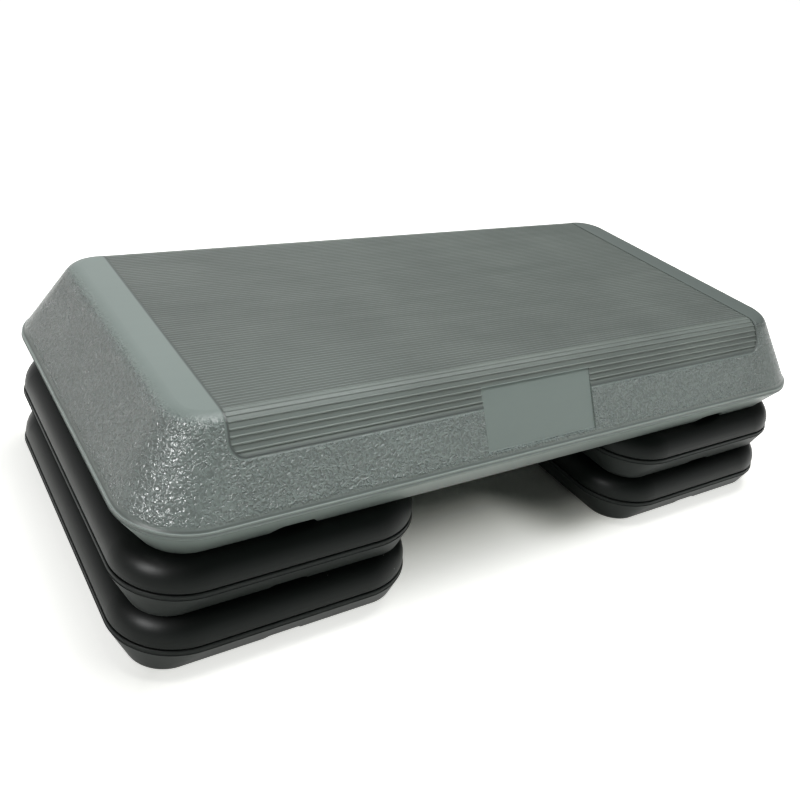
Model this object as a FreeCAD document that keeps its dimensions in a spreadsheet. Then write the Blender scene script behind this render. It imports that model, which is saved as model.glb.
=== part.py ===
"""Aerobic step platform: a grey blow-moulded deck on two stacked black risers at each end.

The frame's origin is the centre of the footprint on the floor. +X runs along the deck, +Y to the
back and +Z up. All lengths are millimetres. Every moulding is drawn with the bottom of its foot ring
at its own zero height, and its placement lifts it to its level in the stack.
"""
import FreeCAD, Part
import math
import os
import re
import Sketcher
from FreeCAD import Placement, Rotation, Vector

# The driving dimensions: alias in the sheet, value, and what it measures.
SIZES = {
    "wall": (4.0, "skin of every moulding"),
    "overrun": (5.0, "how far a cutting tool runs past what it cuts"),
    # Platform
    "platform_length": (724.0, "length at the parting line"),
    "platform_width": (368.0, "width at the parting line"),
    "platform_corner": (56.0, "plan radius at the parting line"),
    "platform_rise": (99.6, "foot ring to deck"),
    "rim_band": (30.0, "foot ring to parting line"),
    "rim_taper": (21.5, "how far the band draws in towards the foot ring"),
    "rim_round": (6.5, "radius of the band's bottom edge"),
    "flash_width": (0.5, "lip left at the parting line"),
    "strip_height": (3.5, "smooth strip between parting line and grain"),
    "step_width": (0.9, "step between the strip and the grained slopes"),
    "deck_end_inset": (38.5, "parting line to the deck's sharp edge, ends"),
    "deck_side_inset": (37.25, "parting line to the deck's sharp edge, long sides"),
    "deck_corner": (30.0, "plan radius of the sharp top edge"),
    "deck_round": (17.0, "radius that rolls the deck into the slopes"),
    "deck_lining_share": (0.6, "inner corner cut, as a share of deck_round"),
    # Tread
    "tread_margin": (35.0, "deck's sharp end edge to the ridged panel"),
    "tread_drop": (0.2, "ridges below the smooth deck"),
    "tread_skirt": (23.0, "deck to the panel's lowest ridge"),
    "tread_ramp": (4.0, "lowest ridge to the panel's lower edge, along the slope"),
    "tread_corner": (11.0, "radius of the panel's lower corners"),
    "top_pitch": (3.55, "ridge pitch on the deck"),
    "slope_pitch": (6.1, "ridge pitch on the slopes"),
    "top_ridge": (0.5, "ridge above the panel's floor on the deck"),
    "slope_ridge": (1.0, "ridge above the panel's floor on the slopes"),
    "ridge_top": (0.6, "width of a ridge's flat top"),
    "ridge_run": (0.5, "width of each flank of a ridge"),
    # Bare plate on the front slope
    "plate_length": (121.0, "length of the smooth plate"),
    "plate_height": (54.0, "height of the plate along the slope"),
    "plate_drop": (1.6, "plate below the slope"),
    "plate_down": (15.0, "sharp top edge to the plate's upper edge, along the slope"),
    "plate_shift": (-11.0, "plate's middle from the deck's middle"),
    # Risers
    "riser_side_setback": (3.75, "riser's side behind the platform's side"),
    "riser_length": (251.5, "along the deck, at the parting line"),
    "riser_corner": (56.0, "plan radius at the parting line"),
    "riser_ring_corner": (26.0, "plan radius of the foot ring, to its sharp edge"),
    "riser_rise": (50.8, "foot ring to shoulder, which is one step up"),
    "riser_band": (29.5, "foot ring to the top of the seam"),
    "riser_taper": (14.8, "how far the band draws in towards the foot ring"),
    "riser_round": (8.0, "radius of the band's bottom edge"),
    "seam_height": (1.0, "height of the seam groove"),
    "seam_depth": (2.2, "depth of the seam groove"),
    "seam_round": (1.0, "radius of the strip's edge at the seam"),
    "pillow_step": (1.0, "how far the upper half stands behind the parting line"),
    "pillow_lean": (1.5, "how far the upper half leans in up to the shoulder"),
    "pillow_round": (18.0, "radius of the shoulder"),
    "pillow_lower_round": (1.4, "radius of the upper half's edge at the seam"),
    # Locating plug on a riser and socket under what stands on it
    "plug_inset": (36.0, "riser's outline to the plug's foot"),
    "plug_height": (8.0, "shoulder to the plug's top"),
    "plug_lean": (2.0, "how far the plug draws in up to its top"),
    "plug_corner": (42.0, "plan radius of the plug's foot"),
    "plug_round": (2.5, "radius of the plug's top edge"),
    "socket_clearance": (1.0, "plug to socket, each side and above"),
    # Finger notch in the foot ring
    "notch_roof": (21.0, "width of the notch's flat roof"),
    "platform_notch": (10.5, "foot ring to the roof, platform"),
    "riser_notch": (6.5, "foot ring to the roof, risers"),
    "notch_round": (5.0, "radius between roof and ramps"),
    "notch_mouth_round": (6.0, "radius between ramps and foot ring"),
    # Rubber feet
    "foot_inset": (39.0, "riser's outline to a foot's middle, both ways"),
    "foot_drop": (2.0, "foot's thickness under the foot ring"),
    "foot_diameter": (18.0, "foot's button"),
    "foot_chamfer": (0.6, "edge of the button"),
    "stem_diameter": (8.0, "foot's stem"),
    "stem_clearance": (0.1, "stem to its hole"),
    "barb_diameter": (10.6, "barb inside the skin"),
    "barb_height": (5.0, "barb's length"),
    "barb_tip_diameter": (6.0, "barb's tip"),
    "dimple_diameter": (21.0, "dimple that clears the foot above"),
    "dimple_depth": (2.6, "dimple below the shoulder"),
}
# Angles in degrees: the notch's ramps, and where their foot runs out at the ring.
NOTCH_RAMP_ANGLE = 50.0
NOTCH_MOUTH_ANGLE = 12.0
TOLERANCE_SHARE = 1e-6

# Lengths that follow from the driving dimensions.
DECK_LENGTH = "(platform_length - 2 * deck_end_inset)"
DECK_WIDTH = "(platform_width - 2 * deck_side_inset)"
TREAD_LENGTH = f"({DECK_LENGTH} - 2 * tread_margin)"
RIM_TOP = "(rim_band + strip_height)"
SLOPE_FOOT_INSET = "(flash_width + step_width)"
SLOPE_TILT = f"atan2(platform_rise - {RIM_TOP}; deck_side_inset - {SLOPE_FOOT_INSET})"
TREAD_REACH = f"(tread_skirt + tread_ramp * sin({SLOPE_TILT}))"
TREAD_LINING = "(tread_drop + slope_ridge + wall)"
RISER_WIDTH = "(platform_width - 2 * riser_side_setback)"
RISER_OFFSET = "((platform_length - riser_length) / 2)"
SOCKET_DEPTH = "(plug_height + socket_clearance)"
FOOT_X = "(riser_length / 2 - foot_inset)"
FOOT_Y = f"({RISER_WIDTH} / 2 - foot_inset)"

doc = FreeCAD.newDocument("aerobic_step")
sheet = doc.addObject("Spreadsheet::Sheet", "Sizes")
for row, (alias, (number, meaning)) in enumerate(SIZES.items(), start=1):
    sheet.set(f"A{row}", meaning)
    sheet.set(f"B{row}", str(number))
    sheet.setAlias(f"B{row}", alias)
doc.recompute()


def full(expression):
    """The expression with each size written as a cell of the sheet."""
    return re.sub(r"\w+", lambda word: f"Sizes.{word[0]}" if word[0] in SIZES else word[0], expression)


def value(expression):
    """The number that an expression over the sizes gives now."""
    return float(sheet.evalExpression(full(expression)))


def bind(thing, where, expression):
    """Ties a property or constraint of a document object to the sheet."""
    thing.setExpression(where, full(expression))


def origin(body, role):
    """One of the body's own origin planes or axes."""
    return next(feature for feature in body.Origin.OriginFeatures if feature.Role == role)


# Sketches and features

def new_sketch(body, name, plane, offset="0", shift="0"):
    """A sketch parallel to an origin plane, lifted by offset and moved sideways by shift."""
    sketch = body.newObject("Sketcher::SketchObject", name)
    sketch.AttachmentSupport = [(origin(body, plane), "")]
    sketch.MapMode = "FlatFace"
    bind(sketch, "AttachmentOffset.Base.z", offset)
    bind(sketch, "AttachmentOffset.Base.x", shift)
    return sketch


def dimension(sketch, name, kind, *where):
    """Adds a named driving dimension; the last item is its expression."""
    *geometry, expression = where
    index = sketch.addConstraint(Sketcher.Constraint(kind, *geometry, value(expression)))
    sketch.renameConstraint(index, name)
    bind(sketch, f"Constraints.{name}", expression)


def arc(across, along, radius, start, end):
    """An arc in a sketch, from one angle to another."""
    circle = Part.Circle(Vector(across, along), Vector(0, 0, 1), radius)
    return Part.ArcOfCircle(circle, start, end)


def rounded_rectangle(body, name, height, length, width, corner, shift="0"):
    """A closed outline of four arcs and four lines round the sketch's origin."""
    sketch = new_sketch(body, name, "XY_Plane", height, shift)
    radius = value(corner)
    across, along = value(length) / 2 - radius, value(width) / 2 - radius
    quarter = math.pi / 2
    arcs = [
        arc(across, along, radius, 0, quarter),
        arc(-across, along, radius, quarter, 2 * quarter),
        arc(-across, -along, radius, 2 * quarter, 3 * quarter),
        arc(across, -along, radius, 3 * quarter, 4 * quarter),
    ]
    lines = [Part.LineSegment(arcs[turn].EndPoint, arcs[(turn + 1) % 4].StartPoint) for turn in range(4)]
    sketch.addGeometry(arcs + lines)
    for turn in range(4):
        line = 4 + turn
        sketch.addConstraint(Sketcher.Constraint("Tangent", turn, 2, line, 1))
        sketch.addConstraint(Sketcher.Constraint("Tangent", line, 2, (turn + 1) % 4, 1))
        sketch.addConstraint(Sketcher.Constraint("Vertical" if turn % 2 else "Horizontal", line))
    for turn in (1, 2, 3):
        sketch.addConstraint(Sketcher.Constraint("Equal", 0, turn))
    sketch.addConstraint(Sketcher.Constraint("Symmetric", 0, 3, 2, 3, -1, 1))
    dimension(sketch, "corner", "Radius", 0, corner)
    dimension(sketch, "length", "DistanceX", 5, 1, 7, 1, length)
    dimension(sketch, "width", "DistanceY", 6, 1, 4, 1, width)
    return sketch


def loft(body, kind, name, sections):
    """A ruled loft through rounded rectangles, added or subtracted."""
    sketches = [
        rounded_rectangle(body, f"{name}_{number}", *section) for number, section in enumerate(sections)
    ]
    feature = body.newObject(f"PartDesign::{kind}Loft", name)
    top, *lower = reversed(sketches)
    feature.Profile = (top, [""])
    feature.Sections = [(sketch, [""]) for sketch in lower]
    feature.Ruled = True
    return finish(body, feature)


def pad(body, name, sketch, length, kind="Pad", side="One side", reverse=False):
    """A Pad or Pocket of a sketch."""
    feature = body.newObject(f"PartDesign::{kind}", name)
    feature.Profile = sketch
    feature.SideType = side
    feature.Reversed = reverse
    bind(feature, "Length", length)
    return finish(body, feature)


def finish(body, feature):
    """Makes the feature the body's tip and stops if it failed or changed nothing."""
    body.Tip = feature
    doc.recompute()
    base = feature.BaseFeature
    if not feature.isValid() or feature.Shape.isNull() or not feature.Shape.isValid():
        raise RuntimeError(f"{feature.Name} failed")
    if base and math.isclose(base.Shape.Volume, feature.Shape.Volume, rel_tol=TOLERANCE_SHARE):
        raise RuntimeError(f"{feature.Name} changed nothing")
    return feature


def round_outline(body, name, height, length, width, radius):
    """A fillet along the rounded-rectangle edge loop of that size and height."""
    half_x, half_y, level = value(length) / 2, value(width) / 2, value(height)
    near = TOLERANCE_SHARE * value("platform_length")

    def on_loop(vertex):
        beyond = max(abs(vertex.X) - half_x, abs(vertex.Y) - half_y)
        return abs(vertex.Z - level) < near and abs(beyond) < near

    base = body.Tip
    edges = [
        f"Edge{number}"
        for number, edge in enumerate(base.Shape.Edges, start=1)
        if all(on_loop(vertex) for vertex in edge.Vertexes)
    ]
    feature = body.newObject("PartDesign::Fillet", name)
    feature.Base = (base, edges)
    bind(feature, "Radius", radius)
    return finish(body, feature)


def inset(section, by):
    """The same outline drawn in on every side."""
    height, length, width, corner, *shift = section
    return (height, f"{length} - 2 * ({by})", f"{width} - 2 * ({by})", f"{corner} - ({by})", *shift)


def four_discs(body, name, kind, height, depth, diameter, reach_x, reach_y):
    """Round bosses or holes at the four corners of a rectangle, running up from height."""
    sketch = new_sketch(body, f"{name}_sketch", "XY_Plane", height)
    for number, (sign_x, sign_y) in enumerate([(1, 1), (-1, 1), (-1, -1), (1, -1)]):
        centre = Vector(sign_x * value(reach_x), sign_y * value(reach_y))
        sketch.addGeometry(Part.Circle(centre, Vector(0, 0, 1), value(diameter) / 2))
        dimension(sketch, f"diameter_{number}", "Diameter", number, diameter)
        dimension(sketch, f"across_{number}", "DistanceX", number, 3, f"{sign_x} * ({reach_x})")
        dimension(sketch, f"along_{number}", "DistanceY", number, 3, f"{sign_y} * ({reach_y})")
    return pad(body, name, sketch, depth, kind, reverse=kind == "Pocket")


def notch_profile(body, name, roof_height, grow, shift="0"):
    """The finger notch seen from the front, grown by a lining: a roof and two ramps, all rounded."""
    height, rounding = f"({roof_height} + {grow})", f"(notch_round + {grow})"
    mouth_rounding = f"(notch_mouth_round - {grow})"
    mouth_centre = f"{mouth_rounding} * cos({NOTCH_MOUTH_ANGLE})"
    roof_fall = f"{rounding} * (1 - cos({NOTCH_RAMP_ANGLE}))"
    mouth_fall = f"{mouth_rounding} * (cos({NOTCH_MOUTH_ANGLE}) - cos({NOTCH_RAMP_ANGLE}))"
    ramp_run = f"({height} - {roof_fall} - {mouth_fall}) / tan({NOTCH_RAMP_ANGLE})"

    ramp, mouth = math.radians(NOTCH_RAMP_ANGLE), math.radians(NOTCH_MOUTH_ANGLE)
    up, down = math.pi / 2, -math.pi / 2
    flat, level, radius, mouth_radius = map(value, ("notch_roof / 2", height, rounding, mouth_rounding))
    reach = flat + (radius + mouth_radius) * math.sin(ramp) + value(ramp_run)
    foot = value(mouth_centre)
    right_mouth = arc(reach, foot, mouth_radius, down - ramp, down - mouth)
    right_roof = arc(flat, level - radius, radius, up - ramp, up)
    left_roof = arc(-flat, level - radius, radius, up, up + ramp)
    left_mouth = arc(-reach, foot, mouth_radius, down + mouth, down + ramp)
    sketch = new_sketch(body, name, "XZ_Plane", shift=shift)
    sketch.addGeometry([
        Part.LineSegment(left_mouth.StartPoint, right_mouth.EndPoint),
        right_mouth,
        Part.LineSegment(right_mouth.StartPoint, right_roof.StartPoint),
        right_roof,
        Part.LineSegment(right_roof.EndPoint, left_roof.StartPoint),
        left_roof,
        Part.LineSegment(left_roof.EndPoint, left_mouth.EndPoint),
        left_mouth,
    ])
    sketch.addConstraint(Sketcher.Constraint("Coincident", 0, 2, 1, 2))
    sketch.addConstraint(Sketcher.Constraint("Tangent", 1, 1, 2, 1))
    for item in (2, 3, 4, 5):
        sketch.addConstraint(Sketcher.Constraint("Tangent", item, 2, item + 1, 1))
    sketch.addConstraint(Sketcher.Constraint("Tangent", 6, 2, 7, 2))
    sketch.addConstraint(Sketcher.Constraint("Coincident", 7, 1, 0, 1))
    sketch.addConstraint(Sketcher.Constraint("Horizontal", 0))
    sketch.addConstraint(Sketcher.Constraint("Symmetric", 0, 1, 0, 2, -1, 1))
    sketch.addConstraint(Sketcher.Constraint("Symmetric", 4, 1, 4, 2, -2))
    sketch.addConstraint(Sketcher.Constraint("Equal", 3, 5))
    sketch.addConstraint(Sketcher.Constraint("Equal", 1, 7))
    dimension(sketch, "roof", "DistanceX", 4, 2, 4, 1, "notch_roof")
    dimension(sketch, "height", "DistanceY", 0, 2, 4, 1, height)
    dimension(sketch, "rounding", "Radius", 3, rounding)
    dimension(sketch, "mouth_rounding", "Radius", 1, mouth_rounding)
    dimension(sketch, "right_centre", "DistanceY", -1, 1, 1, 3, mouth_centre)
    dimension(sketch, "left_centre", "DistanceY", -1, 1, 7, 3, mouth_centre)
    dimension(sketch, "ramp_run", "DistanceX", 2, 2, 2, 1, ramp_run)
    return sketch


# The interlock that the risers and the platform share

def plug_section(height, by="0", shift="0"):
    """The plug's outline, drawn in from its foot."""
    length = "riser_length - 2 * plug_inset"
    width = f"{RISER_WIDTH} - 2 * plug_inset"
    return inset((height, length, width, "plug_corner", shift), by)


def socket_sections(grow, low, high, shift="0"):
    """The socket's two outlines, its mouth and its roof, grown by a lining."""
    outwards = f"-(socket_clearance + {grow})"
    return [plug_section(low, outwards, shift), plug_section(high, f"plug_lean + {outwards}", shift)]


def make_riser():
    """The master riser: band, seam groove, rounded upper half, plug, and everything underneath."""
    body = doc.addObject("PartDesign::Body", "riser")
    widest = ("riser_length", RISER_WIDTH, "riser_corner")
    parting = ("riser_band - seam_height - strip_height", *widest)
    _, ring_length, ring_width, _ = inset(parting, "riser_taper")
    ring = ("0", ring_length, ring_width, "riser_ring_corner")
    seam = inset(("riser_band - seam_height", *widest), "flash_width")
    pillow = inset(("riser_band", *widest), "pillow_step")
    shoulder = inset(("riser_rise", *widest), "pillow_step + pillow_lean")

    loft(body, "Additive", "band", [ring, parting])
    round_outline(body, "band_foot_round", *ring[:3], "riser_round")
    strip = rounded_rectangle(body, "strip_sketch", *inset(parting, "flash_width"))
    pad(body, "strip", strip, "strip_height")
    round_outline(body, "strip_seam_round", *seam[:3], "seam_round")
    neck = rounded_rectangle(body, "seam_sketch", *inset(seam, "seam_depth"))
    pad(body, "seam_neck", neck, "seam_height")
    loft(body, "Additive", "pillow", [pillow, shoulder])
    round_outline(body, "shoulder_round", *shoulder[:3], "pillow_round")
    round_outline(body, "pillow_seam_round", *pillow[:3], "pillow_lower_round")
    plug_top = plug_section("riser_rise + plug_height", "plug_lean")
    loft(body, "Additive", "plug", [plug_section("riser_rise"), plug_top])
    round_outline(body, "plug_top_round", *plug_top[:3], "plug_round")

    # The hollow inside, which follows the outer form one skin further in.
    loft(body, "Subtractive", "hollow", [
        inset(("wall", *widest), "riser_taper + wall"),
        inset(seam, "seam_depth + wall"),
        inset(("riser_rise - pillow_round", *pillow[1:]), "pillow_lean + wall"),
        inset(("riser_rise - wall", *pillow[1:]), "pillow_round"),
    ])
    loft(body, "Subtractive", "plug_hollow", [
        plug_section("riser_rise - 2 * wall", "wall"),
        plug_section("riser_rise + plug_height - wall", "plug_lean + wall"),
    ])
    loft(body, "Additive", "socket_lining", socket_sections("wall", "wall / 2", f"{SOCKET_DEPTH} + wall"))
    lining = notch_profile(body, "notch_lining_sketch", "riser_notch", "wall")
    depth = f"{RISER_WIDTH} - 2 * (riser_taper + riser_round)"
    pad(body, "notch_lining", lining, depth, side="Symmetric")
    four_discs(body, "dimple_lining", "Pad", "riser_rise - dimple_depth - wall", "dimple_depth + wall / 2",
               "dimple_diameter + 2 * wall", FOOT_X, FOOT_Y)

    # What is open from below and above.
    loft(body, "Subtractive", "socket", socket_sections("0", "0", SOCKET_DEPTH))
    notch = notch_profile(body, "notch_sketch", "riser_notch", "0")
    pad(body, "notch", notch, RISER_WIDTH, kind="Pocket", side="Symmetric")
    four_discs(body, "dimple", "Pocket", "riser_rise - dimple_depth", "dimple_depth",
               "dimple_diameter", FOOT_X, FOOT_Y)
    four_discs(body, "foot_hole", "Pocket", "0", "wall",
               "stem_diameter + 2 * stem_clearance", FOOT_X, FOOT_Y)
    return body


def slope_section(height):
    """The outline of the platform's slopes at a height, measured to their sharp edges."""
    share = f"(({height} - {RIM_TOP}) / (platform_rise - {RIM_TOP}))"
    length = f"(platform_length - 2 * {SLOPE_FOOT_INSET})"
    width = f"(platform_width - 2 * {SLOPE_FOOT_INSET})"
    corner = f"(platform_corner - {SLOPE_FOOT_INSET})"
    return (
        height,
        f"({length} + ({DECK_LENGTH} - {length}) * {share})",
        f"({width} + ({DECK_WIDTH} - {width}) * {share})",
        f"({corner} + (deck_corner - {corner}) * {share})",
    )


def make_platform_blank():
    """The platform before its tread and plate are cut: rim, slopes, hollow, sockets and notches."""
    body = doc.addObject("PartDesign::Body", "platform_blank")
    parting = ("rim_band", "platform_length", "platform_width", "platform_corner")
    ring = inset(("0", *parting[1:]), "rim_taper")
    deck = slope_section("platform_rise")

    loft(body, "Additive", "rim", [ring, parting])
    round_outline(body, "rim_foot_round", *ring[:3], "rim_round")
    strip = rounded_rectangle(body, "strip_sketch", *inset(parting, "flash_width"))
    pad(body, "strip", strip, "strip_height")
    loft(body, "Additive", "slopes", [slope_section(RIM_TOP), deck])
    round_outline(body, "deck_edge_round", *deck[:3], "deck_round")

    # The hollow inside stays one skin below the panel's floor.
    loft(body, "Subtractive", "hollow", [
        inset(("wall", *parting[1:]), "rim_taper + wall"),
        inset(slope_section(RIM_TOP), TREAD_LINING),
        inset(slope_section("(platform_rise - deck_round)"), TREAD_LINING),
        inset((f"platform_rise - {TREAD_LINING}", *deck[1:]), "deck_round * deck_lining_share"),
    ])
    stacks = [("left", f"-{RISER_OFFSET}"), ("right", RISER_OFFSET)]
    depth = "platform_width - 2 * (rim_taper + rim_round)"
    for side, shift in stacks:
        loft(body, "Additive", f"socket_lining_{side}",
             socket_sections("wall", "wall / 2", f"{SOCKET_DEPTH} + wall", shift))
        sketch = notch_profile(body, f"notch_lining_sketch_{side}", "platform_notch", "wall", shift)
        pad(body, f"notch_lining_{side}", sketch, depth, side="Symmetric")
    for side, shift in stacks:
        loft(body, "Subtractive", f"socket_{side}", socket_sections("0", "0", SOCKET_DEPTH, shift))
        sketch = notch_profile(body, f"notch_sketch_{side}", "platform_notch", "0", shift)
        pad(body, f"notch_{side}", sketch, "platform_width", kind="Pocket", side="Symmetric")
    four_discs(body, "foot_hole", "Pocket", "0", "wall", "stem_diameter + 2 * stem_clearance",
               f"{RISER_OFFSET} + {FOOT_X}", FOOT_Y)
    return body


# The ridged tread: one skin that runs over the deck and down both long slopes

def along_skin(tilt):
    """The way along the tread's section, away from the middle of the deck."""
    return Vector(0, math.cos(tilt), -math.sin(tilt))


def across_skin(tilt):
    """The way into the tread's skin."""
    return Vector(0, -math.sin(tilt), -math.cos(tilt))


def ridges():
    """The ridges' tops and tilts, from the middle of the deck to the panel's lowest ridge at +Y."""
    deck, radius, drop = value("platform_rise"), value("deck_round"), value("tread_drop")
    turn = math.radians(value(SLOPE_TILT))
    flat_end = value(DECK_WIDTH) / 2 - radius * math.tan(turn / 2)
    centre = Vector(0, flat_end, deck - radius)
    small, large = value("top_pitch"), value("slope_pitch")

    count = round(flat_end / small)
    tops = [(Vector(0, flat_end * number / count, deck - drop), 0.0) for number in range(count)]
    bends = round(2 * (radius - drop) * turn / (small + large))
    pitches = [small + (large - small) * (number + 0.5) / bends for number in range(bends)]
    for number in range(bends):
        tilt = turn * sum(pitches[:number]) / sum(pitches)
        tops.append((centre - across_skin(tilt) * (radius - drop), tilt))
    start = centre - across_skin(turn) * (radius - drop)
    length = (start.z - (deck - value("tread_skirt"))) / math.sin(turn)
    slopes = max(1, round(length / large))
    tops += [(start + along_skin(turn) * (length * number / slopes), turn) for number in range(slopes + 1)]
    return tops


def ridge_section(top, tilt):
    """One ridge from its inner foot over its top to its outer foot."""
    low, high = value("top_ridge"), value("slope_ridge")
    height = low + (high - low) * tilt / math.radians(value(SLOPE_TILT))
    drop = across_skin(tilt) * height
    half = along_skin(tilt) * value("ridge_top / 2")
    foot = along_skin(tilt) * value("ridge_top / 2 + ridge_run")
    return [top - foot + drop, top - half, top + half, top + foot + drop]


def make_tread_tool():
    """The tool that sinks the panel and leaves its ridges standing, run along the deck."""
    middle, *others = ridges()
    half = ridge_section(*middle)[2:]
    for ridge in others:
        half += ridge_section(*ridge)
    # Below the lowest ridge the panel ramps out, past the skin of the slope.
    tilt = others[-1][1]
    depth = value("tread_drop + slope_ridge")
    half.append(half[-1] + (along_skin(tilt) * value("tread_ramp") - across_skin(tilt) * depth) * 2)
    section = [Vector(0, -point.y, point.z) for point in reversed(half)] + half
    side = Vector(0, value("platform_width") / 2 + value("overrun"), 0)
    lift = Vector(0, 0, value("platform_rise") + value("overrun"))
    low = Vector(0, 0, section[-1].z)
    section += [side + low, side + lift, lift - side, low - side, section[0]]
    length = value(TREAD_LENGTH)
    profile = Part.Face(Part.makePolygon(section))
    profile.translate(Vector(-length / 2, 0, 0))
    tool = doc.addObject("Part::Feature", "tread_tool")
    tool.Shape = profile.extrude(Vector(length, 0, 0))
    return tool


def make_tread_outline():
    """The panel's outline seen from the front, with its lower corners rounded."""
    body = doc.addObject("PartDesign::Body", "tread_outline")
    height = f"{TREAD_REACH} + 2 * overrun"
    sketch = rounded_rectangle(body, "tread_outline_sketch", "0", TREAD_LENGTH,
                               f"2 * ({height})", "tread_corner")
    sketch.AttachmentSupport = [(origin(body, "XZ_Plane"), "")]
    bind(sketch, "AttachmentOffset.Base.y", f"platform_rise - {TREAD_REACH} + ({height})")
    pad(body, "tread_outline_pad", sketch, "platform_width + 2 * overrun", side="Symmetric")
    return body


def plate_block(name, grow, drop):
    """A block lying on the front slope where the plate is, reaching drop below the slope."""
    block = doc.addObject("Part::Box", name)
    block.Placement = Placement(Vector(), Rotation(Vector(1, 0, 0), value(SLOPE_TILT)))
    bind(block, "Length", "plate_length")
    bind(block, "Width", "plate_height")
    bind(block, "Height", f"{drop} + {grow}")
    # The block's Y axis runs up the slope and its Z axis out of it.
    up = "(plate_down + plate_height)"
    sine, cosine = f"sin({SLOPE_TILT})", f"cos({SLOPE_TILT})"
    bind(block, "Placement.Rotation.Angle", SLOPE_TILT)
    bind(block, "Placement.Base.x", "plate_shift - plate_length / 2")
    bind(block, "Placement.Base.y", f"-{DECK_WIDTH} / 2 - {up} * {cosine} + {drop} * {sine}")
    bind(block, "Placement.Base.z", f"platform_rise - {up} * {sine} - {drop} * {cosine}")
    return block


def boolean(kind, name, base, tool):
    """A Part boolean of two document objects."""
    result = doc.addObject(f"Part::{kind}", name)
    result.Base = base
    result.Tool = tool
    return result


def make_platform():
    """The platform with its tread and its bare plate cut into it."""
    blank = make_platform_blank()
    panel = boolean("Common", "tread_panel", make_tread_tool(), make_tread_outline())
    keep = plate_block("plate_surround", "overrun", "overrun")
    tread = boolean("Cut", "tread_around_plate", panel, keep)
    treaded = boolean("Cut", "platform_treaded", blank, tread)
    return boolean("Cut", "platform_shell", treaded, plate_block("plate_tool", "overrun", "plate_drop"))


def make_foot():
    """The master foot: a chamfered button, a stem and a barb, turned round its own axis."""
    body = doc.addObject("PartDesign::Body", "foot")
    outline = [
        ("0", "-foot_drop"),
        ("foot_diameter / 2 - foot_chamfer", "-foot_drop"),
        ("foot_diameter / 2", "foot_chamfer - foot_drop"),
        ("foot_diameter / 2", "0"),
        ("stem_diameter / 2", "0"),
        ("stem_diameter / 2", "wall"),
        ("barb_diameter / 2", "wall"),
        ("barb_tip_diameter / 2", "wall + barb_height"),
        ("0", "wall + barb_height"),
    ]
    sketch = new_sketch(body, "foot_profile", "XZ_Plane")
    points = [Vector(value(across), value(up)) for across, up in outline]
    count = len(points)
    sketch.addGeometry([Part.LineSegment(point, points[(n + 1) % count]) for n, point in enumerate(points)])
    for number, (across, up) in enumerate(outline):
        sketch.addConstraint(Sketcher.Constraint("Coincident", number, 2, (number + 1) % count, 1))
        dimension(sketch, f"across_{number}", "DistanceX", -1, 1, number, 1, across)
        dimension(sketch, f"up_{number}", "DistanceY", -1, 1, number, 1, up)
    feature = body.newObject("PartDesign::Revolution", "foot_turned")
    feature.Profile = sketch
    feature.ReferenceAxis = (sketch, ["V_Axis"])
    finish(body, feature)
    return body


def place(thing, across, along, up):
    """Ties the placement of a sub-part to the sheet."""
    for axis, expression in zip("xyz", (across, along, up)):
        bind(thing, f"Placement.Base.{axis}", expression)


def clone(master, name, across, along, up):
    """One more copy of a master body, with its own label and placement."""
    body = doc.addObject("PartDesign::Body", name)
    base = body.newObject("PartDesign::FeatureBase", f"{name}_base")
    base.BaseFeature = master
    body.Tip = base
    place(body, across, along, up)
    return body


def main():
    """Builds every sub-part, checks it and writes it to its own file."""
    platform = make_platform()
    riser = make_riser()
    foot = make_foot()
    parts = [platform]
    levels = {"lower": "foot_drop", "upper": "foot_drop + riser_rise"}
    deck_level = "foot_drop + 2 * riser_rise"
    place(platform, "0", "0", deck_level)

    corners = [(end, side) for end in ("left", "right") for side in ("front", "back")]
    signs = {"left": "-", "right": "", "front": "-", "back": ""}
    for end, side in corners:
        name = f"platform_foot_{end}_{side}"
        across = f"{signs[end]}({RISER_OFFSET} + {FOOT_X})"
        parts.append(clone(foot, name, across, f"{signs[side]}{FOOT_Y}", deck_level))
    for stack in ("left", "right"):
        middle = f"{signs[stack]}{RISER_OFFSET}"
        for level, height in levels.items():
            parts.append(clone(riser, f"riser_{stack}_{level}", middle, "0", height))
            for end, side in corners:
                spot = "inner" if end != stack else "outer"
                across = f"{middle} + ({signs[end]}{FOOT_X})"
                name = f"{stack}_{level}_foot_{spot}_{side}"
                parts.append(clone(foot, name, across, f"{signs[side]}{FOOT_Y}", height))
    doc.recompute()

    for thing in doc.Objects:
        if {"Invalid", "Error"} & set(thing.State):
            raise RuntimeError(f"{thing.Name} is {thing.State}")
    os.makedirs("parts", exist_ok=True)
    for part in parts:
        if part.Shape.isNull() or not part.Shape.isValid():
            raise RuntimeError(f"{part.Label} has no valid shape")
        part.Shape.exportStep(f"parts/{part.Label}.step")
        box = part.Shape.BoundBox
        print(part.Label, len(part.Shape.Solids), f"{part.Shape.Volume:.0f}", box)


main()
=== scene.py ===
"""Looks of the aerobic step platform: grey moulded deck on black risers, in a white studio."""
import math
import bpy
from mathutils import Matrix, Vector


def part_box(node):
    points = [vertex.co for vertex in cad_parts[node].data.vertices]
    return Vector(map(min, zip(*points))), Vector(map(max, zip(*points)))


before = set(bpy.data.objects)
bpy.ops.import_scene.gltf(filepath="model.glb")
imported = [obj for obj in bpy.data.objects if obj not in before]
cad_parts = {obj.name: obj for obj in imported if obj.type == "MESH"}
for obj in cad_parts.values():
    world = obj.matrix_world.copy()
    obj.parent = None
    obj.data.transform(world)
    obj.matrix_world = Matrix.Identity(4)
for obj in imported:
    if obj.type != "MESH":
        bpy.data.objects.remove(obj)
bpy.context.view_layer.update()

from types import SimpleNamespace

import bpy
from mathutils import Matrix, Vector

MM = 0.001

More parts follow.
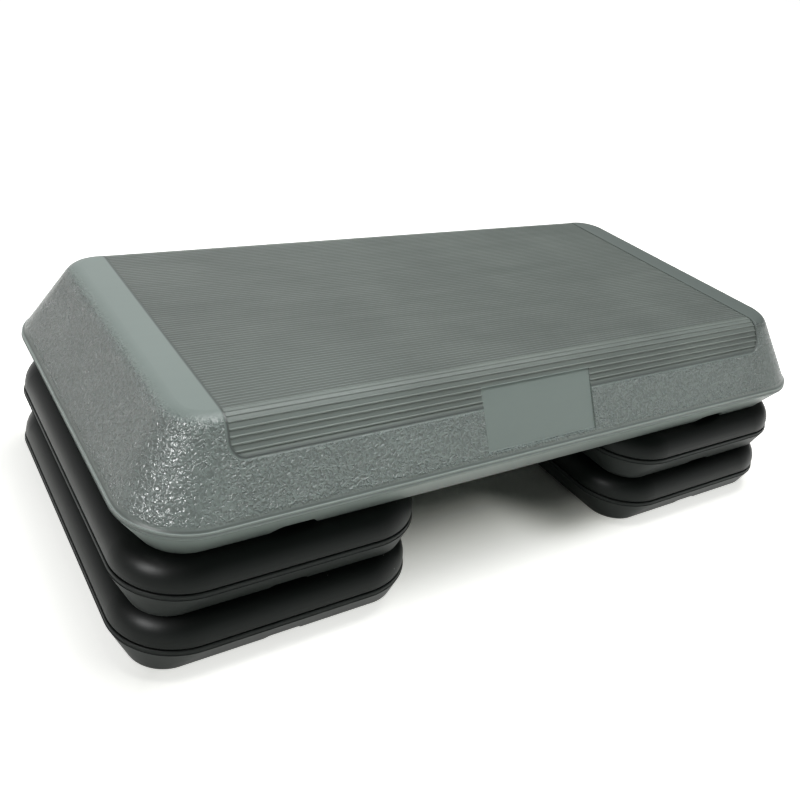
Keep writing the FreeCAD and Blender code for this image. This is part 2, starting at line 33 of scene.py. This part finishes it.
# Levels and outlines of the deck, from the shell's bounds in model.glb and from the moulding's own
# sizes, in metres.
shell_low, shell_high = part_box("platform_shell")
deck_top = shell_high.z
slope_foot = shell_low.z + 33.5 * MM
parting = shell_low.z + 30 * MM
tread_half = shell_high.x - 73.5 * MM
tread_low = deck_top - 26.5 * MM
tread_corner = 11 * MM
tread_flat = 136.7 * MM
tread_margin = 3 * MM
tread_edge = 0.3 * MM
plate_half = 60.5 * MM
plate_shift = -11 * MM
plate_high = deck_top - 13.1 * MM
plate_low = deck_top - 60.4 * MM
plate_edge = 0.5 * MM

# Level of a riser's seam above its foot ring, and half the width over which its looks change.
riser_seam = 29 * MM
seam_edge = 0.5 * MM

# Ranges over which a look of the deck sets in, from none to full, in metres.
grain_foot_z = (slope_foot + 1.5 * MM, slope_foot + 5 * MM)
grain_head_z = (deck_top - 0.4 * MM, deck_top - 5 * MM)
corner_x = (shell_high.x - 90 * MM, shell_high.x - 45 * MM)
corner_y = (shell_high.y - 75 * MM, shell_high.y - 35 * MM)
channel_z = (deck_top - 0.35 * MM, deck_top - 0.6 * MM)
channel_y = (tread_flat + 1 * MM, tread_flat - 1 * MM)
front_y = (0.0, -1 * MM)
# Where a painted sheen lies on the tread's near left.
sheen_x = (-100 * MM, -200 * MM)
sheen_y = (-20 * MM, -120 * MM)
# Where painted shade darkens the deck's ends.
shade_right_x = (200 * MM, shell_high.x)
shade_left_x = (-300 * MM, -330 * MM)
shade_left_y = (-150 * MM, 0.0)
shade_band_x = (tread_half, tread_half + 4 * MM)
shade_band_z = (deck_top - 12 * MM, deck_top - 4 * MM)
# Where painted shade darkens the rim towards its foot.
rim_foot_shade_z = (parting + 2 * MM, shell_low.z)

# Colours of the deck, linear.
DECK_DARK = (0.290, 0.352, 0.329, 1)
DECK_PALE = (0.332, 0.402, 0.375, 1)
# The tread's greys, darker with wear and partly with painted shade of its ridges, then its painted
# sheen and the painted shade in its channels.
TREAD_DARK = (0.205, 0.239, 0.220, 1)
TREAD_PALE = (0.270, 0.311, 0.286, 1)
TREAD_SHEEN = (0.310, 0.362, 0.336, 1)
CHANNEL_SHADE = (0.060, 0.069, 0.063, 1)
# Painted shade for the grain's valleys and for the line where the ridges end.
VALLEY_SHADE = (0.10, 0.119, 0.113, 1)
TREAD_END_SHADE = (0.05, 0.060, 0.056, 1)
# Painted shade for the deck's ends.
END_SHADE_GREY = (0.12, 0.140, 0.131, 1)
# Painted shade and painted highlight for the rim's lines.
RIM_SHADE = (0.12, 0.14, 0.13, 1)
RIM_HIGHLIGHT = (0.50, 0.58, 0.55, 1)
# Painted shade towards the rim's foot.
RIM_FOOT_SHADE = (0.07, 0.084, 0.078, 1)

# Colours of the risers and of the feet, linear.
PILLOW_DARK = (0.0060, 0.0092, 0.0078, 1)
PILLOW_PALE = (0.0108, 0.0152, 0.0132, 1)
BAND_DARK = (0.014, 0.018, 0.0165, 1)
BAND_PALE = (0.030, 0.037, 0.034, 1)
SPECK = (0.30, 0.31, 0.30, 1)
RUBBER_DARK = (0.018, 0.018, 0.018, 1)
RUBBER_DUST = (0.050, 0.049, 0.047, 1)

# The rim's lines: level, half width, share and colour. Painted shade lies at the foot of the
# slopes and under the strip and the flash, whose edges are painted pale as highlights.
RIM_LINES = (
    (slope_foot + 1.0 * MM, 1.6 * MM, 0.75, RIM_SHADE),
    (slope_foot - 0.3 * MM, 0.8 * MM, 0.60, RIM_HIGHLIGHT),
    (slope_foot - 1.9 * MM, 0.9 * MM, 0.55, RIM_SHADE),
    (parting, 0.7 * MM, 0.50, RIM_HIGHLIGHT),
    (parting - 1.8 * MM, 1.2 * MM, 0.55, RIM_SHADE),
)

# Roughness of the deck and of the risers.
SMOOTH_ROUGH, GRAIN_ROUGH, TREAD_ROUGH = 0.42, 0.25, 0.52
BAND_ROUGH, PILLOW_ROUGH = 0.48, 0.40
RUBBER_ROUGH = 0.66

# The studio, in metres: half the floor's side, and where its shade fades round the part's outline.
WHITE = (1, 1, 1, 1)
FLOOR_PAPER = (0.93, 0.935, 0.88, 1)
FLOOR_SHADE = (0.98, 1, 0.90, 1)
FLOOR_HALF = 12.0
SHADE_INNER = (-0.13, 0.01)
SHADE_OUTER = (0.0, 0.10)
NOOK_LEFT_X = (0.02, 0.10)
NOOK_RIGHT_X = (0.22, 0.12)
NOOK_BEFORE = (0.0, -0.05)
NOOK_SHIFT = 0.045

# The world, by the direction of a ray: its ceiling by height, its dark wall towards the right.
CEILING_GREY = (0.12, 0.12, 0.12, 1)
CEILING_RISE = (0.22, 0.62)
WALL_GREY = (0.08, 0.08, 0.08, 1)
WALL_WAY = (0.95, 0.31)
WALL_RANGE = (0.78, 0.90)
WORLD_AS_LAMP, WORLD_AS_SEEN = 0.05, 1.0

# The lamps: name, place and size in metres, power in watts, and whether only gloss shows them.
LAMPS = (
    ("overhead", (0.16, -0.12, 1.9), (1.1, 0.9), 25.0, False),
    ("front_left", (-0.8, -0.87, 1.48), (0.9, 0.9), 1.0, False),
    ("back_softbox", (0.0, 1.3, 1.0), (1.2, 0.6), 1.5, False),
    ("left_window", (-1.35, -0.45, 0.90), (0.45, 0.45), 20.0, True),
)
LAMP_TARGET = Vector((0, 0, 0.12))

# Camera: place in metres, turns in radians, focal length and centre in pixels of the photograph.
PICTURE = 800
SENSOR_MM = 36.0
CLIP_START, CLIP_END = 0.02, 100.0
camera_place = Vector((-0.5161, -0.6402, 0.5414))
camera_yaw = 0.6597
camera_pitch = -0.4211
camera_roll = 0.1768
focal_pixels = 912.7
centre_pixels = (428.5, 313.8)


class Graph:
    """Short ways to add nodes to one shader tree."""

    def __init__(self, tree):
        self.tree = tree
        tree.nodes.clear()

    def add(self, kind, settings=None, **inputs):
        """A node with its settings and inputs: numbers, colours or other nodes' sockets."""
        node = self.tree.nodes.new(kind)
        for name, value in (settings or {}).items():
            setattr(node, name, value)
        for name, value in inputs.items():
            self.feed(node.inputs[name.replace("_", " ")], value)
        return node

    def feed(self, socket, value):
        """Links a socket, or sets its default value."""
        if isinstance(value, bpy.types.NodeSocket):
            self.tree.links.new(value, socket)
        else:
            socket.default_value = value

    def math(self, operation, *values):
        """The result of one Math node."""
        node = self.add("ShaderNodeMath", {"operation": operation})
        for socket, value in zip(node.inputs, values):
            self.feed(socket, value)
        return node.outputs[0]

    def step(self, value, start, end):
        """Rises smoothly from 0 at the start to 1 at the end, which may be the smaller one."""
        node = self.add("ShaderNodeMapRange", {"interpolation_type": "SMOOTHSTEP"})
        ends = (start, end, 0.0, 1.0) if start < end else (end, start, 1.0, 0.0)
        for socket, number in zip(node.inputs, (value, *ends)):
            self.feed(socket, number)
        return node.outputs[0]

    def line(self, value, centre, half):
        """A thin line: 1 at the centre and 0 at half a width from it."""
        away = self.math("ABSOLUTE", self.math("SUBTRACT", value, centre))
        return self.step(away, half, 0.0)

    def outline(self, across, along):
        """Signed distance to a rectangle's outline, from how far a point is past its sides."""
        squares = [self.math("POWER", self.math("MAXIMUM", past, 0.0), 2.0)
                   for past in (across, along)]
        corner = self.math("SQRT", self.math("ADD", *squares))
        inside = self.math("MINIMUM", self.math("MAXIMUM", across, along), 0.0)
        return self.math("ADD", corner, inside)

    def both(self, *masks):
        """The product of several masks."""
        result = masks[0]
        for mask in masks[1:]:
            result = self.math("MULTIPLY", result, mask)
        return result

    def without(self, mask):
        """One minus a mask."""
        return self.math("SUBTRACT", 1.0, mask)

    def weigh(self, first, second, shares):
        """The sum of two values, each multiplied by its share."""
        parts = [self.math("MULTIPLY", *pair) for pair in zip((first, second), shares)]
        return self.math("ADD", *parts)

    def vary(self, value, noise, amount):
        """A value that wanders with a noise, by half the amount up and down."""
        centred = self.math("SUBTRACT", noise, 0.5)
        return self.math("ADD", value, self.math("MULTIPLY", centred, amount))

    def mix(self, share, low, high):
        """A blend of two colours or two numbers."""
        colours = any(self.is_colour(value) for value in (low, high))
        node = self.add("ShaderNodeMix", {"data_type": "RGBA" if colours else "FLOAT"})
        offset = 6 if colours else 2
        self.feed(node.inputs[0], share)
        self.feed(node.inputs[offset], low)
        self.feed(node.inputs[offset + 1], high)
        return node.outputs[2 if colours else 0]

    def tint(self, colour, shade, mask, share):
        """A colour turned towards a shade by a share of a mask."""
        return self.mix(self.math("MULTIPLY", mask, share), colour, shade)

    @staticmethod
    def is_colour(value):
        """True for a colour or a colour socket."""
        if isinstance(value, bpy.types.NodeSocket):
            return value.type == "RGBA"
        return not isinstance(value, (int, float))

    def noise(self, vector, scale, detail=2.0, rough=0.5, distortion=0.0):
        """A noise between 0 and 1."""
        node = self.add("ShaderNodeTexNoise", None, Vector=vector, Scale=scale, Detail=detail,
                        Roughness=rough, Distortion=distortion)
        return node.outputs[0]

    def stretch(self, vector, factors):
        """The coordinates multiplied axis by axis."""
        node = self.add("ShaderNodeVectorMath", {"operation": "MULTIPLY"})
        self.feed(node.inputs[0], vector)
        self.feed(node.inputs[1], factors)
        return node.outputs[0]

    def rounded(self, radius):
        """The surface's normal with its sharp edges rounded off."""
        return self.add("ShaderNodeBevel", {"samples": 4}, Radius=radius).outputs[0]

    def bump(self, height, strength, distance, normal=None):
        """A normal bent by a height field."""
        node = self.add("ShaderNodeBump", None, Height=height, Strength=strength,
                        Distance=distance)
        if normal is not None:
            self.feed(node.inputs["Normal"], normal)
        return node.outputs[0]

    def seen(self, ray):
        """1 for rays that show the studio: from the camera, by gloss or through glass."""
        bounced = self.math("MAXIMUM", ray["Is Glossy Ray"], ray["Is Transmission Ray"])
        return self.math("MAXIMUM", ray["Is Camera Ray"], bounced)


def new_material(name):
    """An empty node material with its graph and its surface coordinates in metres."""
    material = bpy.data.materials.new(name)
    material.use_nodes = True
    graph = Graph(material.node_tree)
    place = graph.add("ShaderNodeTexCoord").outputs["Object"]
    split = graph.add("ShaderNodeSeparateXYZ", None, Vector=place)
    return material, graph, place, split.outputs


def finish_plastic(graph, colour, roughness, normal, gloss=0.5):
    """The plastic shader, with its specular level, and the material's output."""
    shader = graph.add("ShaderNodeBsdfPrincipled", None, Base_Color=colour, Roughness=roughness,
                       Specular_IOR_Level=gloss, Normal=normal)
    graph.add("ShaderNodeOutputMaterial", None, Surface=shader.outputs[0])


def deck_masks(graph, x, y, z):
    """Masks of the deck's areas, from 0 to 1, and the distance from the tread in metres."""
    reach = graph.math("ABSOLUTE", x)
    across = graph.math("ABSOLUTE", y)

    # The tread panel is a rounded rectangle when it is seen from the front.
    over_x = graph.math("SUBTRACT", reach, tread_half - tread_corner)
    over_z = graph.math("SUBTRACT", tread_low + tread_corner, z)
    from_tread = graph.math("SUBTRACT", graph.outline(over_x, over_z), tread_corner)
    near_tread = graph.step(from_tread, tread_margin, 0.5 * tread_margin)

    # The bare plate is on the front slope.
    from_plate = graph.math("ABSOLUTE", graph.math("SUBTRACT", x, plate_shift))
    plate = graph.both(
        graph.step(from_plate, plate_half + plate_edge, plate_half - plate_edge),
        graph.step(z, plate_low - plate_edge, plate_low + plate_edge),
        graph.step(z, plate_high + plate_edge, plate_high - plate_edge),
        graph.step(y, *front_y),
    )
    off_plate = graph.without(plate)

    # The grain covers what is left of the slopes.
    grained = graph.both(
        graph.step(z, *grain_foot_z),
        graph.step(z, *grain_head_z),
        graph.without(near_tread),
        off_plate,
    )
    return SimpleNamespace(
        from_tread=from_tread,
        tread=graph.step(from_tread, tread_edge, -tread_edge),
        channel=graph.both(graph.step(z, *channel_z), graph.step(across, *channel_y)),
        off_plate=off_plate,
        grained=grained,
        corner=graph.both(graph.step(reach, *corner_x), graph.step(across, *corner_y)),
    )


def deck_colour(graph, place, x, y, z, masks, grain):
    """The deck's grey with its wear and dirt, and with painted shade and painted highlights."""
    # Broad blotches, and streaks along the ridges.
    blotch = graph.noise(place, scale=9.0, detail=3.0, rough=0.55)
    along_ridges = graph.stretch(place, (0.05, 1.0, 1.0))
    streak = graph.noise(along_ridges, scale=130.0, detail=4.0, rough=0.65)
    tone = graph.weigh(blotch, streak, shares=(0.6, 0.4))
    colour = graph.mix(tone, DECK_DARK, DECK_PALE)

    # The tread, darker with wear and partly with painted shade of its ridges, with a painted sheen
    # pale at its near left and painted shade dark in the channels between its ridges.
    worn_and_shaded = graph.mix(graph.step(tone, 0.30, 0.70), TREAD_DARK, TREAD_PALE)
    sheen = graph.both(graph.step(x, *sheen_x), graph.step(y, *sheen_y))
    worn_and_shaded = graph.tint(worn_and_shaded, TREAD_SHEEN, sheen, share=0.50)
    worn_and_shaded = graph.tint(worn_and_shaded, CHANNEL_SHADE, masks.channel, share=0.55)
    colour = graph.mix(graph.both(masks.tread, masks.off_plate), colour, worn_and_shaded)

    # Painted shade in the valleys of the grain, and where the ridges end at the smooth bands.
    valley_shade = graph.both(masks.grained, graph.step(grain, 0.60, 0.38))
    colour = graph.tint(colour, VALLEY_SHADE, valley_shade, share=0.30)
    end_line = graph.line(masks.from_tread, centre=0.7 * MM, half=2.0 * MM)
    tread_end_shade = graph.both(end_line, masks.off_plate)
    colour = graph.tint(colour, TREAD_END_SHADE, tread_end_shade, share=0.80)

    # Painted shade darkens the slopes of both ends and the right end's smooth band, where less
    # light falls on them.
    left_slope_shade = graph.both(graph.step(x, *shade_left_x), graph.step(y, *shade_left_y))
    shaded_slopes = graph.weigh(graph.step(x, *shade_right_x), left_slope_shade, shares=(0.45, 0.22))
    shaded_band = graph.math("MULTIPLY", graph.step(x, *shade_band_x), 0.70)
    end_shade = graph.mix(graph.step(z, *shade_band_z), shaded_slopes, shaded_band)
    colour = graph.mix(end_shade, colour, END_SHADE_GREY)

    # The rim has its lines of painted shade and painted highlight, and painted shade darkens it
    # towards its foot.
    for level, half, share, shade in RIM_LINES:
        colour = graph.tint(colour, shade, graph.line(z, level, half), share)
    return graph.tint(colour, RIM_FOOT_SHADE, graph.step(z, *rim_foot_shade_z), share=0.75)


def deck_material():
    """Grey polyethylene: ridged tread, grained slopes, smooth bands, rim and plate."""
    material, graph, place, (x, y, z) = new_material("platform_plastic")
    masks = deck_masks(graph, x, y, z)

    # Leather grain: meandering pebbles about three millimetres apart, shallower in the corners,
    # where the moulding is stretched most.
    grain = graph.noise(place, scale=430.0, detail=0.0, rough=0.5, distortion=0.9)
    depth = graph.mix(masks.corner, 1.0, 0.45)
    relief = graph.both(grain, masks.grained, depth)

    colour = deck_colour(graph, place, x, y, z, masks, grain)
    fine = graph.noise(place, scale=2600.0, detail=2.0, rough=0.6)
    rough = graph.mix(masks.grained, SMOOTH_ROUGH, GRAIN_ROUGH)
    rough = graph.mix(masks.tread, rough, TREAD_ROUGH)
    rough = graph.vary(rough, fine, amount=0.12)

    normal = graph.rounded(0.3 * MM)
    normal = graph.bump(fine, strength=0.05, distance=0.2 * MM, normal=normal)
    normal = graph.bump(relief, strength=1.0, distance=2.6 * MM, normal=normal)
    finish_plastic(graph, colour, rough, normal, gloss=0.6)
    return material


def riser_material(name, ring):
    """Black polyethylene of one level of risers: satin above the seam, duller below it."""
    material, graph, place, split = new_material(name)
    height = graph.math("SUBTRACT", split["Z"], ring)
    pillow = graph.step(height, riser_seam - seam_edge, riser_seam + seam_edge)
    blotch = graph.noise(place, scale=14.0, detail=3.0, rough=0.55)
    fine = graph.noise(place, scale=1900.0, detail=2.0, rough=0.6)
    level_flow = graph.stretch(place, (0.25, 0.25, 1.6))
    flow = graph.noise(level_flow, scale=120.0, detail=3.0, rough=0.6)

    colour = graph.mix(blotch, PILLOW_DARK, PILLOW_PALE)
    band = graph.mix(flow, BAND_DARK, BAND_PALE)
    colour = graph.mix(pillow, band, colour)

    # Sparse pale specks, in patches.
    cells = graph.add("ShaderNodeTexVoronoi", None, Vector=place, Scale=95.0)
    patch = graph.noise(place, scale=23.0, detail=2.0)
    speck = graph.both(
        graph.step(cells.outputs["Distance"], 0.075, 0.03),
        graph.step(patch, 0.58, 0.66),
    )
    colour = graph.tint(colour, SPECK, speck, share=0.5)

    rough = graph.mix(pillow, BAND_ROUGH, PILLOW_ROUGH)
    rough = graph.vary(rough, blotch, amount=0.14)
    normal = graph.rounded(0.5 * MM)
    normal = graph.bump(fine, strength=0.06, distance=0.2 * MM, normal=normal)
    normal = graph.bump(flow, strength=0.10, distance=0.6 * MM, normal=normal)
    finish_plastic(graph, colour, rough, normal, gloss=0.15)
    return material


def rubber_material():
    """Dull black rubber of the push-in feet."""
    material, graph, place, _ = new_material("foot_rubber")
    dust = graph.noise(place, scale=420.0, detail=3.0, rough=0.6)
    fine = graph.noise(place, scale=2400.0, detail=2.0, rough=0.6)
    colour = graph.mix(dust, RUBBER_DARK, RUBBER_DUST)
    rough = graph.math("ADD", RUBBER_ROUGH, graph.math("MULTIPLY", fine, 0.2))
    normal = graph.bump(fine, strength=0.2, distance=0.2 * MM)
    finish_plastic(graph, colour, rough, normal)
    return material


def dress(nodes, material):
    """Gives CAD nodes one material."""
    for node in nodes:
        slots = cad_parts[node].data.materials
        slots.clear()
        slots.append(material)


def dress_all():
    """A material for every CAD node."""
    dress(["platform_shell"], deck_material())
    for level in ("lower", "upper"):
        risers = [f"riser_{stack}_{level}" for stack in ("left", "right")]
        dress(risers, riser_material(f"riser_plastic_{level}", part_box(risers[0])[0].z))
    dress(sorted(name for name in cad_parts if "_foot_" in name), rubber_material())


def floor_material():
    """White paper that glows for the rays that show it, except in the shade under the part."""
    material = bpy.data.materials.new("floor_white")
    material.use_nodes = True
    graph = Graph(material.node_tree)
    seen = graph.seen(graph.add("ShaderNodeLightPath").outputs)
    place = graph.add("ShaderNodeTexCoord").outputs["Object"]
    x, y, _ = graph.add("ShaderNodeSeparateXYZ", None, Vector=place).outputs

    # The distance to the part's outline, with a deeper shade in the nook by the right stack.
    beside = graph.math("SUBTRACT", graph.math("ABSOLUTE", x), shell_high.x)
    before = graph.math("SUBTRACT", graph.math("ABSOLUTE", y), shell_high.y)
    nook = graph.both(
        graph.step(x, *NOOK_LEFT_X),
        graph.step(x, *NOOK_RIGHT_X),
        graph.step(before, *NOOK_BEFORE),
    )
    deeper = graph.math("MULTIPLY", nook, NOOK_SHIFT)
    distance = graph.math("SUBTRACT", graph.outline(beside, before), deeper)
    outside = graph.weigh(graph.step(distance, *SHADE_INNER), graph.step(distance, *SHADE_OUTER),
                          shares=(0.8, 0.2))

    paper = graph.add("ShaderNodeBsdfDiffuse", None, Color=FLOOR_PAPER)
    tint = graph.mix(outside, FLOOR_SHADE, WHITE)
    glow = graph.add("ShaderNodeEmission", None, Color=tint, Strength=graph.both(seen, outside))
    total = graph.add("ShaderNodeAddShader")
    graph.feed(total.inputs[0], paper.outputs[0])
    graph.feed(total.inputs[1], glow.outputs[0])
    graph.add("ShaderNodeOutputMaterial", None, Surface=total.outputs[0])
    return material


def make_floor():
    """A wide pale floor that renders white where nothing shades it."""
    mesh = bpy.data.meshes.new("floor")
    signs = ((-1, -1), (1, -1), (1, 1), (-1, 1))
    corners = [(i * FLOOR_HALF, j * FLOOR_HALF, 0) for i, j in signs]
    mesh.from_pydata(corners, [], [(0, 1, 2, 3)])
    floor = bpy.data.objects.new("floor", mesh)
    bpy.context.scene.collection.objects.link(floor)
    mesh.materials.append(floor_material())


def make_world():
    """A white studio, dim as a lamp, with a darker ceiling and a dark wall for gloss to show."""
    world = bpy.data.worlds.new("studio")
    bpy.context.scene.world = world
    world.use_nodes = True
    graph = Graph(world.node_tree)
    way = graph.add("ShaderNodeTexCoord").outputs["Generated"]
    x, y, height = graph.add("ShaderNodeSeparateXYZ", None, Vector=way).outputs
    ray = graph.add("ShaderNodeLightPath").outputs

    colour = graph.mix(graph.step(height, *CEILING_RISE), WHITE, CEILING_GREY)
    to_right = graph.weigh(x, y, shares=WALL_WAY)
    off_camera = graph.without(ray["Is Camera Ray"])
    dark_wall = graph.both(graph.step(to_right, *WALL_RANGE), off_camera)
    colour = graph.mix(dark_wall, colour, WALL_GREY)

    strength = graph.mix(graph.seen(ray), WORLD_AS_LAMP, WORLD_AS_SEEN)
    back = graph.add("ShaderNodeBackground", None, Color=colour, Strength=strength)
    graph.add("ShaderNodeOutputWorld", None, Surface=back.outputs[0])


def make_lamp(name, place, size, power, gloss_only):
    """A soft lamp that looks at the middle of the part, or only a bright thing to mirror."""
    data = bpy.data.lights.new(name, "AREA")
    data.shape = "RECTANGLE"
    data.size, data.size_y = size
    data.energy = power
    lamp = bpy.data.objects.new(name, data)
    lamp.location = place
    lamp.rotation_euler = (LAMP_TARGET - Vector(place)).to_track_quat("-Z", "Y").to_euler()
    lamp.visible_diffuse = not gloss_only
    bpy.context.scene.collection.objects.link(lamp)


def make_camera():
    """The camera that the photograph was taken with."""
    forward = Vector((
        math.sin(camera_yaw) * math.cos(camera_pitch),
        math.cos(camera_yaw) * math.cos(camera_pitch),
        math.sin(camera_pitch),
    ))
    level = Vector((math.cos(camera_yaw), -math.sin(camera_yaw), 0))
    upright = level.cross(forward)
    right = math.cos(camera_roll) * level + math.sin(camera_roll) * upright
    up = math.cos(camera_roll) * upright - math.sin(camera_roll) * level
    data = bpy.data.cameras.new("photo_camera")
    data.sensor_width = SENSOR_MM
    data.lens = focal_pixels * SENSOR_MM / PICTURE
    data.shift_x = (PICTURE / 2 - centre_pixels[0]) / PICTURE
    data.shift_y = (centre_pixels[1] - PICTURE / 2) / PICTURE
    data.clip_start = CLIP_START
    data.clip_end = CLIP_END
    camera = bpy.data.objects.new("photo_camera", data)
    turn = Matrix((right, up, -forward)).transposed()
    camera.matrix_world = Matrix.Translation(camera_place) @ turn.to_4x4()
    bpy.context.scene.collection.objects.link(camera)
    bpy.context.scene.camera = camera


dress_all()
make_floor()
make_world()
for lamp_row in LAMPS:
    make_lamp(*lamp_row)
make_camera()
bpy.context.scene.view_settings.view_transform = "Standard"
